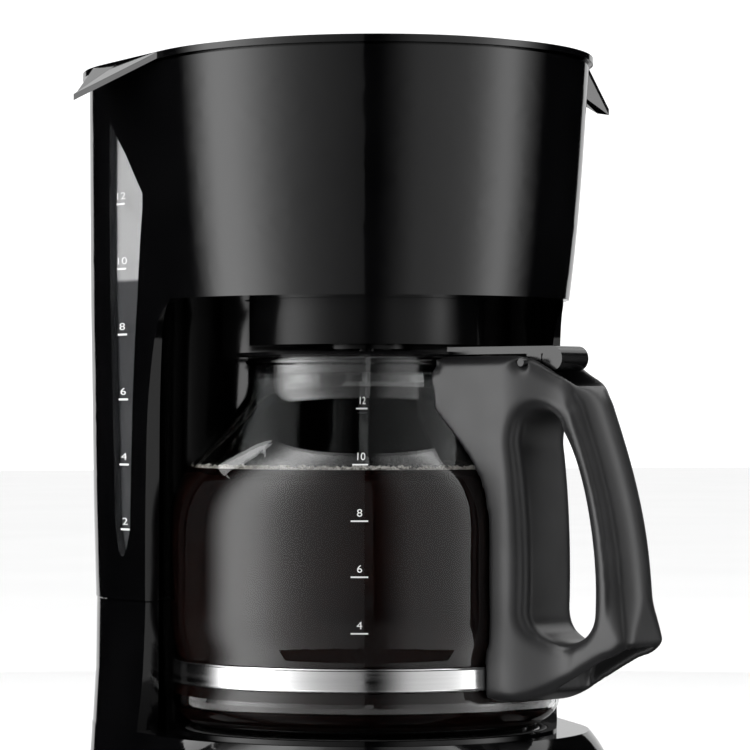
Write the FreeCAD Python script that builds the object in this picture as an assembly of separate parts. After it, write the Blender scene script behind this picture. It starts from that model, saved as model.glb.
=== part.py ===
"""Twelve-cup drip coffee maker: glossy drum-fronted housing, hinged lid, lift-out basket, glass carafe.

Millimetres, +Z up. The machine faces -Y. Geometry is laid out about the carafe's axis, and every node is
moved by frame_shift_y on export, so that the origin is the middle of the whole object's footprint.
"""

import math
import os

import FreeCAD
import Part

Vector = FreeCAD.Vector
up = Vector(0, 0, 1)

# ---- driving dimensions ----
frame_shift_y = -7.865

rear_corner_x = 14.0
rear_corner_y = 52.0
wall = 2.6
foot_height = 3.0

deck_z = 60.0
seam_z = 109.6
seam_gap = 0.5
head_bottom_z = 226.4
bay_radius = 81.0
head_hole_radius = 47.4

lid_front_y = -87.0
lid_front_z = 321.3
lid_slope_deg = 1.2
lid_thickness = 2.4
lid_gap = 0.9
ear_x = 111.5
ear_y = 22.5
ear_z = 305.6
lid_overhang = 2.0
hinge_y = 131.0
hinge_z = 318.6
hinge_barrel_radius = 4.4
hinge_pin_radius = 1.6
hinge_play = 0.05

tank_wall = 1.8
tank_floor_z = 112.0
tank_top_z = 292.0
tank_front_top_z = 281.0

plate_radius = 66.0
plate_top_z = 61.0

well_radius = 74.0
well_top_z = 301.0
basket_bottom_z = 208.8
basket_top_z = 291.0
basket_neck_radius = 45.5
basket_rim_radius = 65.0
basket_wall = 1.8

valve_tip_z = 206.8
valve_stem_radius = 4.0
valve_seat_radius = 4.6
spring_radius = 5.4
spring_wire_radius = 0.45
spring_turns = 5

glass_radius = 76.0
glass_wall = 2.2
glass_bottom_z = 61.3
glass_top_z = 203.6
neck_radius = 46.0
band_bottom_z = 79.0
band_top_z = 87.6
handle_turn_deg = -59.0
handle_half_width = 18.0
lid_pin_r = 88.5
lid_pin_z = 201.4

switch_z = 27.0
switch_face_y = -101.2
switch_tilt_deg = -7.0
axle_depth = 4.5

cord_x = -40.0
cord_z = 20.0

element_radius = 44.0
element_z = 51.5
water_tube_z = 42.3

riser_x = 0.0
riser_y = 96.0
inlet_x = -52.0
inlet_y = 100.0
riser_radius = 4.0
nozzle_y = 79.5


# ---- small helpers ----
def cylinder(radius, z_low, z_high, x=0.0, y=0.0):
    """An upright cylinder between two heights."""
    return Part.makeCylinder(radius, z_high - z_low, Vector(x, y, z_low), up)


def ring(inner, outer, z_low, z_high, x=0.0, y=0.0):
    """An upright tube between two heights."""
    return cylinder(outer, z_low, z_high, x, y).cut(cylinder(inner, z_low - 1, z_high + 1, x, y))


def block(x_low, x_high, y_low, y_high, z_low, z_high):
    """A box given by its limits."""
    size = (x_high - x_low, y_high - y_low, z_high - z_low)
    return Part.makeBox(*size, Vector(x_low, y_low, z_low))


def revolved(points):
    """The solid swept by a closed (radius, height) outline about the carafe's axis."""
    corners = [Vector(r, 0, z) for r, z in points]
    face = Part.Face(Part.makePolygon(corners + corners[:1]))
    return face.revolve(Vector(0, 0, 0), up, 360)


def smooth(points):
    """A spline edge through points."""
    curve = Part.BSplineCurve()
    curve.interpolate(points)
    return curve.toShape()


def tube_along(points, radius, bend):
    """A round bar whose centreline is straight runs joined by tangent arcs of one bend radius."""
    edges = []
    start = points[0]
    for before, corner, after in zip(points, points[1:], points[2:]):
        into = (corner - before).normalize()
        out = (after - corner).normalize()
        turn = into.getAngle(out)
        reach = bend * math.tan(turn / 2)
        first = corner - into * reach
        last = corner + out * reach
        middle_way = (out - into).normalize()
        middle = corner + middle_way * (bend / math.cos(turn / 2) - bend)
        edges.append(Part.LineSegment(start, first).toShape())
        edges.append(Part.Arc(first, middle, last).toShape())
        start = last
    edges.append(Part.LineSegment(start, points[-1]).toShape())
    path = Part.Wire(edges)
    section = Part.Wire(Part.makeCircle(radius, points[0], points[1] - points[0]))
    return path.makePipeShell([section], True, True)


def hose(points, inner, outer, bend):
    """A hollow tube along a bent route."""
    return tube_along(points, outer, bend).cut(tube_along(points, inner, bend))


def body_outline(front_radius, rear_radius, z):
    """The housing's plan at one height: a round front hulled with two rear corners."""
    distance = math.hypot(rear_corner_x, rear_corner_y)
    toward = math.atan2(rear_corner_y, rear_corner_x)
    normal = toward - math.acos((front_radius - rear_radius) / distance)
    nx, ny = math.cos(normal), math.sin(normal)
    side_x, side_y = front_radius * nx, front_radius * ny
    corner_x, corner_y = rear_corner_x + rear_radius * nx, rear_corner_y + rear_radius * ny
    back_y = rear_corner_y + rear_radius
    middle_turn = (normal + math.pi / 2) / 2
    arc_x = rear_corner_x + rear_radius * math.cos(middle_turn)
    arc_y = rear_corner_y + rear_radius * math.sin(middle_turn)
    front = Part.Arc(Vector(-side_x, side_y, z), Vector(0, -front_radius, z), Vector(side_x, side_y, z))
    right = Part.LineSegment(Vector(side_x, side_y, z), Vector(corner_x, corner_y, z))
    right_corner = Part.Arc(
        Vector(corner_x, corner_y, z), Vector(arc_x, arc_y, z), Vector(rear_corner_x, back_y, z)
    )
    back = Part.LineSegment(Vector(rear_corner_x, back_y, z), Vector(-rear_corner_x, back_y, z))
    left_corner = Part.Arc(
        Vector(-rear_corner_x, back_y, z), Vector(-arc_x, arc_y, z), Vector(-corner_x, corner_y, z)
    )
    left = Part.LineSegment(Vector(-corner_x, corner_y, z), Vector(-side_x, side_y, z))
    return Part.Wire([e.toShape() for e in (front, right, right_corner, back, left_corner, left)])


def lofted(sections, inset=0.0, ruled=False):
    """A solid through housing outlines given as (height, front radius, rear radius)."""
    wires = [body_outline(front - inset, rear - inset, z) for z, front, rear in sections]
    return Part.makeLoft(wires, True, ruled)


def lid_plane_z(y):
    """Height of the lid's top rim plane, which falls towards the back."""
    return lid_front_z - (y - lid_front_y) * math.tan(math.radians(lid_slope_deg))


def above_lid_plane(drop):
    """A large solid filling everything above the lid's plane lowered by drop."""
    low, high = -250.0, 250.0
    corners = [
        Vector(-250, low, lid_plane_z(low) - drop),
        Vector(-250, high, lid_plane_z(high) - drop),
        Vector(-250, high, 500),
        Vector(-250, low, 500),
    ]
    return Part.Face(Part.makePolygon(corners + corners[:1])).extrude(Vector(500, 0, 0))


def turned(shape, degrees):
    """A copy turned about the carafe's axis."""
    copy = shape.copy()
    copy.rotate(Vector(0, 0, 0), up, degrees)
    return copy


def joined(shapes):
    """One solid from overlapping ones."""
    return shapes[0].multiFuse(shapes[1:]).removeSplitter()


# ---- housing ----
head_sections = [
    (head_bottom_z, 78.9, 79.9),
    (254.0, 82.0, 80.1),
    (284.0, 84.4, 80.3),
    (340.0, 88.0, 80.6),
]
column_sections = [
    (seam_z + seam_gap, 79.6, 77.8),
    (150.0, 79.2, 78.8),
    (head_bottom_z, 78.9, 79.9),
]
base_upper_sections = [
    (deck_z - 4, 80.6, 79.4),
    (82.0, 79.9, 77.9),
    (seam_z, 79.6, 77.5),
]
base_lower_sections = [
    (foot_height, 103.4, 84.6),
    (14.0, 102.8, 83.8),
    (28.0, 100.8, 82.2),
    (40.0, 97.6, 80.9),
    (50.0, 93.4, 80.0),
    (56.0, 89.8, 79.6),
    (deck_z, 86.6, 79.4),
]
bay_front_edge = [(110.0, 14.6), (133.0, 14.0), (157.0, 13.0), (188.0, 10.8), (207.0, 7.1), (219.0, 2.8)]
bay_foot_y = 18.6
bay_head_y = -9.0


def outer_column():
    return joined([lofted(column_sections, 0, True), lofted(head_sections)])


def bay_cutter(extra=0.0):
    """The open bay that holds the carafe: a cylinder, and the space ahead of the swept side edges."""
    top = head_bottom_z + extra
    low = deck_z - 10
    sweep = [Vector(-150, bay_foot_y + extra, deck_z)]
    sweep += [Vector(-150, y + extra, z) for z, y in bay_front_edge]
    sweep.append(Vector(-150, bay_head_y + extra, top))
    rest = [
        sweep[-1],
        Vector(-150, -200, top),
        Vector(-150, -200, low),
        Vector(-150, bay_foot_y + extra, low),
        sweep[0],
    ]
    face = Part.Face(Part.Wire([smooth(sweep)] + Part.makePolygon(rest).Edges))
    barrel = cylinder(bay_radius + extra, low, top)
    return barrel.fuse(face.extrude(Vector(300, 0, 0)))


def window_prism(grow=0.0):
    """The leaf-shaped prism of the water window, running out through the left wall."""
    points = [
        Vector(0, 37.4 + grow, 296.0 + grow),
        Vector(0, 23.7, 282.6 + grow),
        Vector(0, 11.0 - grow, 267.0 + grow),
        Vector(0, 11.6 - grow, 261.0),
        Vector(0, 17.0 - grow, 234.0),
        Vector(0, 22.4 - grow, 185.0),
        Vector(0, 25.4 - grow, 138.0),
        Vector(0, 31.6, 127.0 - grow),
        Vector(0, 36.6 + grow, 140.0),
        Vector(0, 37.6 + grow, 212.0),
        Vector(0, 38.0 + grow, 270.0),
        Vector(0, 37.4 + grow, 296.0 + grow),
    ]
    edges = [
        Part.makePolygon(points[0:3]).Edges,
        [smooth(points[2:4])],
        [smooth(points[3:7])],
        [smooth(points[6:9])],
        [smooth(points[8:12])],
    ]
    face = Part.Face(Part.Wire(sum(edges, [])))
    prism = face.extrude(Vector(-200, 0, 0))
    return prism.cut(cylinder(bay_radius + wall, 100, 310))


def make_main_housing():
    outer = outer_column()
    solid = outer.cut(bay_cutter()).cut(above_lid_plane(lid_thickness + lid_gap))
    inner_low = lofted(
        [(seam_z - 1, 79.6, 77.8), (150.0, 79.2, 78.8), (head_bottom_z + 1, 78.9, 79.9)], wall, True
    )
    inner_high = lofted(head_sections[:-1] + [(350.0, 88.7, 80.6)], wall)
    cavity = inner_low.fuse(inner_high).cut(bay_cutter(wall))
    shell = solid.cut(cavity)
    shell = shell.cut(cylinder(head_hole_radius, head_bottom_z - 1, head_bottom_z + wall + 1))
    shell = shell.cut(window_prism(0.12))
    ears = []
    for side in (-1, 1):
        x_low, x_high = sorted((side * 31.0, side * 37.0))
        post = block(x_low, x_high, hinge_y - 5.0, hinge_y + 3.4, 298.0, hinge_z)
        nose = Part.makeCylinder(5.0, x_high - x_low, Vector(x_low, hinge_y, hinge_z), Vector(1, 0, 0))
        nose = nose.common(block(x_low, x_high, hinge_y - 6, hinge_y + 3.4, 280, 330))
        ears.append(post.fuse(nose))
    shell = shell.multiFuse(ears)
    pin_hole = Part.makeCylinder(hinge_pin_radius, 90, Vector(-45, hinge_y, hinge_z), Vector(1, 0, 0))
    return shell.cut(pin_hole).removeSplitter()


def make_water_window():
    outer = outer_column()
    inner = lofted(column_sections, wall, True).fuse(lofted(head_sections, wall))
    skin = outer.cut(inner)
    return skin.common(window_prism())


def make_water_tank():
    """An open tank that fills the column behind the bay and reaches forward behind the window."""

    def filling(gap, low, high):
        shape = lofted(
            column_sections + [(330.0, 78.9, 80.1)],
            wall + gap,
            True,
        )
        shape = shape.common(block(-150, 150, 14.0 + gap, 200, low, high))
        return shape.cut(cylinder(bay_radius + wall + gap, 90, 310)).cut(bay_cutter(wall + gap))

    tank = filling(0.4, tank_floor_z, tank_top_z)
    hollow = filling(0.4 + tank_wall, tank_floor_z + tank_wall, tank_top_z + 1)
    tank = tank.cut(hollow)
    tank = tank.cut(cylinder(bay_radius + wall + 4, tank_front_top_z, 300))
    tank = tank.cut(cylinder(riser_radius + 0.05, 100, 120, riser_x, riser_y))
    tank = tank.cut(cylinder(riser_radius + 0.05, 100, 120, inlet_x, inlet_y))
    return tank


def make_base_housing():
    skirt = lofted(base_lower_sections)
    rear = lofted(base_upper_sections, 0, True)
    above_deck = rear.cut(bay_cutter())
    outer = skirt.fuse(above_deck).removeSplitter()
    inner_skirt = lofted(
        [(foot_height - 1, 103.5, 84.6)] + base_lower_sections[1:-1] + [(deck_z - 2.6, 88.2, 79.5)], wall
    )
    inner_sections = [(deck_z - 6, 80.6, 79.4), (82.0, 79.9, 77.9), (seam_z - wall, 79.6, 77.5)]
    inner_rear = lofted(inner_sections, wall, True)
    outer = outer.cut(inner_skirt).cut(inner_rear.cut(bay_cutter(wall)))
    outer = outer.cut(cylinder(plate_radius + 4.5, deck_z - 8, deck_z + 2))
    outer = outer.fuse(ring(plate_radius + 4.6, plate_radius + 8.2, deck_z - 1, deck_z + 0.9))
    outer = outer.fuse(ring(plate_radius - 3.0, plate_radius + 8.0, deck_z - 4.6, deck_z - 2.5))
    rim = lofted([(seam_z - 0.4, 79.6, 77.6), (seam_z + 1.2, 79.6, 77.8)], wall + 0.3)
    rim = rim.cut(lofted([(seam_z - 1, 79.6, 77.6), (seam_z + 3, 79.6, 77.8)], wall + 1.8))
    outer = outer.fuse(rim.cut(bay_cutter(wall + 0.3)))
    for x, y in ((riser_x, riser_y), (inlet_x, inlet_y)):
        outer = outer.cut(cylinder(riser_radius + 1.6, seam_z - 8, seam_z + 2, x, y))
    outer = outer.cut(switch_pocket(0.1))
    outer = outer.cut(cord_hole(6.0))
    for x, y in screw_places():
        post = cylinder(4.0, foot_height + 2.4, deck_z - 2.6 if y < 0 else 30.0, x, y)
        outer = outer.fuse(post.cut(cylinder(1.3, 0, 20, x, y)))
    return outer.removeSplitter()


def screw_places():
    """Five screws that hold the bottom cover, spread around the base."""
    places = [(side * 54.0, -64.0) for side in (-1, 1)]
    rear_reach = 77.6
    angle = math.radians(35)
    rear_x = rear_corner_x + rear_reach * math.cos(angle)
    rear_y = rear_corner_y + rear_reach * math.sin(angle)
    return places + [(-rear_x, rear_y), (rear_x, rear_y), (0.0, rear_corner_y + rear_reach)]


def foot_places():
    """Four feet near the corners of the footprint."""
    return [(-66.0, -48.0), (66.0, -48.0), (-56.0, 108.0), (56.0, 108.0)]


def make_bottom_cover():
    outline = body_outline(103.4 - wall - 0.6, 84.6 - wall - 0.6, foot_height)
    cover = Part.Face(outline).extrude(Vector(0, 0, 2.2))
    for x, y in screw_places():
        cover = cover.cut(cylinder(1.7, 0, 10, x, y))
        cover = cover.cut(cylinder(3.2, 0, foot_height + 1.2, x, y))
    for x, y in foot_places():
        cover = cover.cut(cylinder(5.0, 0, 10, x, y))
    for row in range(-4, 5):
        cover = cover.cut(block(-24, 24, row * 8 - 1.5, row * 8 + 1.5, 0, 10))
    return cover


def make_rubber_feet():
    feet = []
    for x, y in foot_places():
        pad = Part.makeCone(7.5, 8.5, foot_height - 0.05, Vector(x, y, 0), up)
        stem = cylinder(4.9, foot_height - 0.05, foot_height + 2.2, x, y)
        barb = Part.makeCone(5.8, 4.2, 2.6, Vector(x, y, foot_height + 2.25), up)
        feet.append(joined([pad, stem.fuse(cylinder(4.9, foot_height + 2.0, foot_height + 2.6, x, y)), barb]))
    return Part.makeCompound(feet)


def make_bottom_screws():
    screws = []
    for x, y in screw_places():
        head = cylinder(3.0, foot_height - 0.6, foot_height + 1.15, x, y)
        shank = cylinder(1.25, foot_height + 1.1, foot_height + 14, x, y)
        slot = block(x - 2.2, x + 2.2, y - 0.4, y + 0.4, 0, foot_height + 0.3)
        cross = block(x - 0.4, x + 0.4, y - 2.2, y + 2.2, 0, foot_height + 0.3)
        screws.append(head.fuse(shank).cut(slot).cut(cross))
    return Part.makeCompound(screws)


# ---- switch and cord entry ----
def switch_pocket(gap):
    """The rectangular hole through the front skirt that the switch bezel fills."""
    half_x, half_z = 13.0 + gap, 9.0 + gap
    return block(-half_x, half_x, -120, switch_face_y + 14, switch_z - half_z, switch_z + half_z)


def make_switch_bezel():
    """A raised frame that follows the skirt's curve, with a box behind it that holds the rocker."""
    front_y = switch_face_y - 2.6
    frame = block(-14.6, 14.6, front_y, switch_face_y + 8.0, switch_z - 10.6, switch_z + 10.6)
    frame = frame.makeFillet(1.0, [e for e in frame.Edges if e.BoundBox.YMax < front_y + 0.1])
    frame = frame.cut(lofted(base_lower_sections, -0.02))
    box = block(-12.9, 12.9, switch_face_y - 1.0, switch_face_y + 13, switch_z - 8.9, switch_z + 8.9)
    hollow = block(-11.4, 11.4, front_y - 5, switch_face_y + 11.6, switch_z - 7.4, switch_z + 7.4)
    return frame.fuse(box).cut(hollow).cut(rocker_axle(hinge_play)).removeSplitter()


def rocker_axle(gap):
    """Two stub axles of the rocker, along X, a little behind the bezel's face."""
    start = Vector(-12.4, switch_face_y + axle_depth, switch_z)
    return Part.makeCylinder(1.5 + gap, 24.8, start, Vector(1, 0, 0))


def make_power_switch():
    """A rocker with a shallow V face, tilted to its off position."""
    y_face = switch_face_y - 2.4
    profile = [
        Vector(-11.0, y_face - 1.4, switch_z - 6.2),
        Vector(-11.0, y_face + 0.2, switch_z),
        Vector(-11.0, y_face - 1.4, switch_z + 6.2),
        Vector(-11.0, switch_face_y + 4.0, switch_z + 5.0),
        Vector(-11.0, switch_face_y + 6.4, switch_z),
        Vector(-11.0, switch_face_y + 4.0, switch_z - 5.0),
    ]
    rocker = Part.Face(Part.makePolygon(profile + profile[:1])).extrude(Vector(22.0, 0, 0))
    rocker = rocker.makeFillet(0.5, [e for e in rocker.Edges if e.BoundBox.YMax < y_face + 0.5])
    rocker = rocker.fuse(rocker_axle(0.0)).removeSplitter()
    rocker.rotate(Vector(0, switch_face_y + axle_depth, switch_z), Vector(1, 0, 0), switch_tilt_deg)
    return rocker


def cord_hole(radius):
    """The cord's entry hole through the back of the base."""
    return Part.makeCylinder(radius, 40, Vector(cord_x, 110, cord_z), Vector(0, 1, 0))


def make_cord_bush():
    """A flanged rubber bush in the cord's entry hole."""
    back = Vector(0, 1, 0)
    start = Vector(cord_x, 121.6, cord_z)
    sleeve = Part.makeCylinder(5.9, 13.4, start, back).fuse(Part.makeCylinder(7.6, 2.0, start, back))
    outside = Part.makeCone(8.2, 6.8, 4.4, Vector(cord_x, 133.4, cord_z), back)
    skirt = lofted(base_lower_sections, -0.1)
    bush = sleeve.fuse(outside.cut(skirt))
    return bush.cut(Part.makeCylinder(3.7, 60, Vector(cord_x, 100, cord_z), back)).removeSplitter()


# ---- heating ----
def make_warming_plate():
    """A pressed disc whose flat rim is level with its middle, with a shallow ring groove between them."""
    top = plate_top_z
    outline = [
        (0, top - 1.4),
        (plate_radius - 5.5, top - 1.4),
        (plate_radius - 5.5, top - 2.8),
        (plate_radius + 1.6, top - 2.8),
        (plate_radius + 1.6, top - 0.6),
        (plate_radius + 1.0, top),
        (plate_radius - 1.4, top),
        (plate_radius - 2.0, top - 0.6),
        (plate_radius - 3.4, top - 0.6),
        (plate_radius - 4.0, top),
        (0, top),
    ]
    return revolved(outline)


def make_plate_seal():
    """A soft ring with a rounded top that fills the gap between the plate and the deck."""
    low = deck_z - 2.4
    outline = [
        (plate_radius + 1.8, low),
        (plate_radius + 4.4, low),
        (plate_radius + 4.4, plate_top_z - 0.5),
        (plate_radius + 3.8, plate_top_z),
        (plate_radius + 2.4, plate_top_z),
        (plate_radius + 1.8, plate_top_z - 0.5),
    ]
    return revolved(outline)


def horseshoe(radius, z):
    """A round bar bent to a horseshoe, open at the back, with two straight tails."""
    swing = math.radians(62)
    tail_x, tail_y = element_radius * math.sin(swing / 2), element_radius * math.cos(swing / 2)
    left, right = Vector(-tail_x, tail_y, z), Vector(tail_x, tail_y, z)
    arc = Part.Arc(left, Vector(0, -element_radius, z), right).toShape()
    section = Part.Wire(Part.makeCircle(radius, left, Vector(tail_y, tail_x, 0)))
    bend = Part.Wire([arc]).makePipeShell([section], True, True)
    tails = [Part.makeCylinder(radius, 22, end - Vector(0, 2, 0), Vector(0, 1, 0)) for end in (left, right)]
    knuckles = [Part.makeSphere(radius, end) for end in (left, right)]
    return bend, tails, knuckles


def make_heating_element():
    bend, tails, knuckles = horseshoe(4.6, element_z)
    return joined([bend] + knuckles + tails)


def make_water_heater_tube():
    bend, tails, knuckles = horseshoe(4.3, water_tube_z)
    return joined([bend] + knuckles + tails)


def make_element_clip():
    """A pressed bridge under the element, screwed up to hold it against the plate."""
    bar = block(-58, 58, -8, 8, 35.2, 36.8)
    for side in (-1, 1):
        x_low, x_high = sorted((side * 56.4, side * 58.0))
        bar = bar.fuse(block(x_low, x_high, -8, 8, 35.2, 56.6))
        bar = bar.cut(block(side * 20 - 6, side * 20 + 6, -3, 3, 30, 40))
    return bar


def make_thermostat():
    """A round snap-disc thermostat on a flange under the plate."""
    disc = cylinder(8.0, 45.0, 55.0, 0, 8)
    flange = block(-12, 12, 4.5, 11.5, 55.0, 57.8)
    blades = block(-6.6, -5.8, 5, 11, 38.5, 45.5).fuse(block(5.8, 6.6, 5, 11, 38.5, 45.5))
    return joined([disc, flange, blades])


def make_thermal_fuses():
    """Two axial fuses in sleeves, clipped beside the thermostat."""
    fuses = []
    for y in (-14.0, -22.0):
        sleeve = Part.makeCylinder(2.6, 22, Vector(-11, y, 54.5), Vector(1, 0, 0))
        lead = Part.makeCylinder(0.6, 40, Vector(-20, y, 54.5), Vector(1, 0, 0))
        fuses.append(sleeve.fuse(lead))
    return Part.makeCompound(fuses)


def element_tail(side):
    """Where one tail of the water heater tube ends."""
    swing = math.radians(31)
    x, y = element_radius * math.sin(swing), element_radius * math.cos(swing) + 20
    return Vector(side * x, y, water_tube_z)


def make_one_way_valve():
    """The valve body on the cold side: a stepped barrel in line with the water tube's left tail."""
    tail = element_tail(-1)
    back = Vector(0, 1, 0)
    barrel = Part.makeCylinder(6.6, 14, tail + Vector(0, 0.2, 0), back)
    nose = Part.makeCylinder(4.0, 10, tail + Vector(0, 14, 0), back)
    return barrel.fuse(nose)


def make_inlet_hose():
    """Silicone hose from the tank's outlet down to the one-way valve."""
    start = element_tail(-1) + Vector(0, 24.4, 0)
    route = [
        start,
        Vector(start.x, inlet_y + 4, start.z),
        Vector(inlet_x, inlet_y + 4, start.z + 26),
        Vector(inlet_x, inlet_y, tank_floor_z - 6),
        Vector(inlet_x, inlet_y, tank_floor_z + 4),
    ]
    return hose(route, 2.6, riser_radius, 6.0)


def make_riser_tube():
    """Hot water tube from the heater's right tail, up through the tank and over its front edge."""
    start = element_tail(1) + Vector(0, 0.3, 0)
    route = [
        start,
        Vector(start.x, riser_y, start.z),
        Vector(riser_x, riser_y, start.z + 18),
        Vector(riser_x, riser_y, tank_top_z - 2),
        Vector(riser_x, nozzle_y, tank_top_z - 2),
        Vector(riser_x, nozzle_y, well_top_z + 0.5),
    ]
    return hose(route, 2.6, riser_radius, 6.0)


def make_terminal_block():
    """Screw terminals where the mains leads end."""
    body = block(-58, -22, 96, 108, 14, 26)
    for i in range(3):
        x = -52 + i * 12
        body = body.cut(cylinder(2.4, 20, 30, x, 102))
        body = body.cut(Part.makeCylinder(1.8, 30, Vector(x, 90, 17.5), Vector(0, 1, 0)))
    return body


# ---- lid ----
def lid_slab(grow, drop, thick):
    """A plate of the housing's plan, grown sideways, whose top lies drop below the lid's plane."""
    slab = lofted([(240, 86.2 + grow, 81.2 + grow), (360, 86.2 + grow, 81.2 + grow)], 0, True)
    slab = slab.cut(above_lid_plane(drop)).common(above_lid_plane(drop + thick))
    return slab.common(block(-150, 150, -150, hinge_y - 5.4, 200, 400))


def make_lid_ear(side):
    """A thumb ear that droops outwards from the lid's rim, as a fan of thin triangular slabs."""
    inner = Vector(side * 91.9, 24.0, lid_plane_z(24))
    rim = [
        Vector(side * 83.5, -26.0, lid_plane_z(-26)),
        Vector(side * 88.0, -12.0, lid_plane_z(-12) - 0.3),
        Vector(side * ear_x, ear_y, ear_z),
        Vector(side * (ear_x - 2.6), ear_y + 6.0, ear_z + 1.0),
        Vector(side * 96.8, 47.0, lid_plane_z(47)),
    ]
    slabs = []
    for first, second in zip(rim, rim[1:]):
        triangle = Part.Face(Part.makePolygon([inner, first, second, inner]))
        slabs.append(triangle.extrude(Vector(0, 0, -lid_thickness)))
    return joined(slabs)


def make_lid():
    plate = lid_slab(lid_overhang, 0, lid_thickness)
    crown = lid_slab(-8.0, -1.6, 2.2)
    lip = lid_slab(-wall - 1.4, lid_thickness - 0.4, 5.0).cut(lid_slab(-wall - 3.0, 0, 20))
    ears = [make_lid_ear(side) for side in (-1, 1)]
    leaf = block(-30.4, 30.4, hinge_y - 12, hinge_y - 1.0, hinge_z - 4.2, hinge_z - 1.0)
    barrel = Part.makeCylinder(hinge_barrel_radius, 60.8, Vector(-30.4, hinge_y, hinge_z), Vector(1, 0, 0))
    lid = joined([plate, crown, lip, leaf, barrel] + ears)
    along = Vector(1, 0, 0)
    bore = Part.makeCylinder(hinge_pin_radius + hinge_play, 70, Vector(-35, hinge_y, hinge_z), along)
    return lid.cut(bore)


def make_lid_pins():
    pins = []
    for side in (-1, 1):
        start = 14.0 if side > 0 else -36.6
        pins.append(
            Part.makeCylinder(hinge_pin_radius - 0.01, 22.6, Vector(start, hinge_y, hinge_z), Vector(1, 0, 0))
        )
    return Part.makeCompound(pins)


def make_shower_head():
    """The spreader under the lid: a channel from the riser's mouth to a perforated dish."""
    floor_z = well_top_z + 2.0
    hollow_z = floor_z + 1.4
    head = block(-9, 9, 14, 88, floor_z, 310).fuse(cylinder(24, floor_z, 310))
    head = head.cut(cylinder(22.4, hollow_z, 311))
    head = head.cut(block(-7.4, 7.4, 10, 86.4, hollow_z, 311))
    for i in range(8):
        angle = math.radians(45 * i)
        head = head.cut(cylinder(1.2, floor_z - 1, hollow_z + 1, 15 * math.cos(angle), 15 * math.sin(angle)))
    head = head.cut(cylinder(riser_radius + 1.0, floor_z - 1, hollow_z + 1, riser_x, nozzle_y))
    return head.removeSplitter()


# ---- basket chamber and brew basket ----
def make_basket_well():
    """The fixed chamber wall inside the head, standing on the head's floor."""
    floor_z = head_bottom_z + wall + 0.1
    wall_ring = ring(well_radius - 2, well_radius, floor_z, well_top_z)
    floor = ring(head_hole_radius + 1.0, well_radius, floor_z, floor_z + 2)
    return wall_ring.fuse(floor).removeSplitter()


def basket_shape(radius_change, z_bottom):
    """The basket's outer form: a straight neck, a cone, and an open top."""
    z_top = basket_top_z
    neck, rim = basket_neck_radius + radius_change, basket_rim_radius + radius_change
    return revolved([(0, z_bottom), (neck, z_bottom), (neck, head_bottom_z + 7), (rim, z_top), (0, z_top)])


def make_brew_basket():
    cup = basket_shape(0, basket_bottom_z).cut(basket_shape(-basket_wall, basket_bottom_z + 2.4))
    cup = cup.cut(cylinder(basket_rim_radius - basket_wall, basket_top_z - 0.2, basket_top_z + 1))
    mouth = basket_rim_radius - basket_wall - 0.2
    cup = cup.fuse(ring(mouth, basket_rim_radius + 3.0, basket_top_z - 2.0, basket_top_z))
    for i in range(12):
        inside = basket_neck_radius - 1
        foot = block(30, inside, -0.8, 0.8, basket_bottom_z + 2, basket_bottom_z + 5)
        upright = block(inside - 3, inside, -0.8, 0.8, basket_bottom_z + 2, head_bottom_z + 5)
        cup = cup.fuse(turned(foot.fuse(upright), 30 * i + 15))
    for i in range(3):
        post = block(11.6, 13.2, -1.5, 1.5, basket_bottom_z + 2, basket_bottom_z + 17)
        cup = cup.fuse(turned(post, 120 * i))
    skirt = ring(17.0, 18.6, basket_bottom_z - 1.4, basket_bottom_z + 1)
    cup = cup.fuse(skirt)
    for side in (-1, 1):
        x_low, x_high = sorted((side * (basket_rim_radius + 1.4), side * (basket_rim_radius + 3.0)))
        tab = block(x_low, x_high, -12, 12, basket_top_z - 1.0, basket_top_z + 8)
        cup = cup.fuse(tab.common(cylinder(basket_rim_radius + 3.0, basket_top_z - 2, basket_top_z + 9)))
    cup = cup.cut(cylinder(valve_seat_radius, basket_bottom_z - 3, basket_bottom_z + 3))
    return cup.removeSplitter()


def make_valve_cage():
    """The cap over the drip-stop spring, snapped on the basket's three posts."""
    cap = cylinder(15.0, basket_bottom_z + 17.1, basket_bottom_z + 18.9)
    for i in range(6):
        cap = cap.cut(turned(cylinder(1.6, 215, 240, 9.0, 0), 60 * i + 30))
    return cap


def make_valve_plunger():
    stem = cylinder(valve_stem_radius, valve_tip_z, basket_bottom_z + 4).fuse(
        cylinder(2.0, basket_bottom_z + 3, basket_bottom_z + 13)
    )
    tip = stem.fuse(cylinder(8.4, basket_bottom_z + 3.0, basket_bottom_z + 4.6))
    return tip.removeSplitter()


def make_valve_seal():
    return ring(valve_stem_radius + 0.02, 7.6, basket_bottom_z + 2.45, basket_bottom_z + 2.98)


def make_valve_spring():
    """A coil spring between the plunger's flange and the cage."""
    low, high = basket_bottom_z + 5.1, basket_bottom_z + 16.6
    count = spring_turns * 12
    points = []
    for i in range(count + 1):
        angle = math.radians(30 * i)
        height = low + (high - low) * i / count
        points.append(Vector(spring_radius * math.cos(angle), spring_radius * math.sin(angle), height))
    curve = Part.BSplineCurve()
    curve.interpolate(points)
    tangent = curve.tangent(curve.FirstParameter)[0]
    section = Part.Wire(Part.makeCircle(spring_wire_radius, points[0], tangent))
    return Part.Wire(curve.toShape()).makePipeShell([section], True, False)


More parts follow.
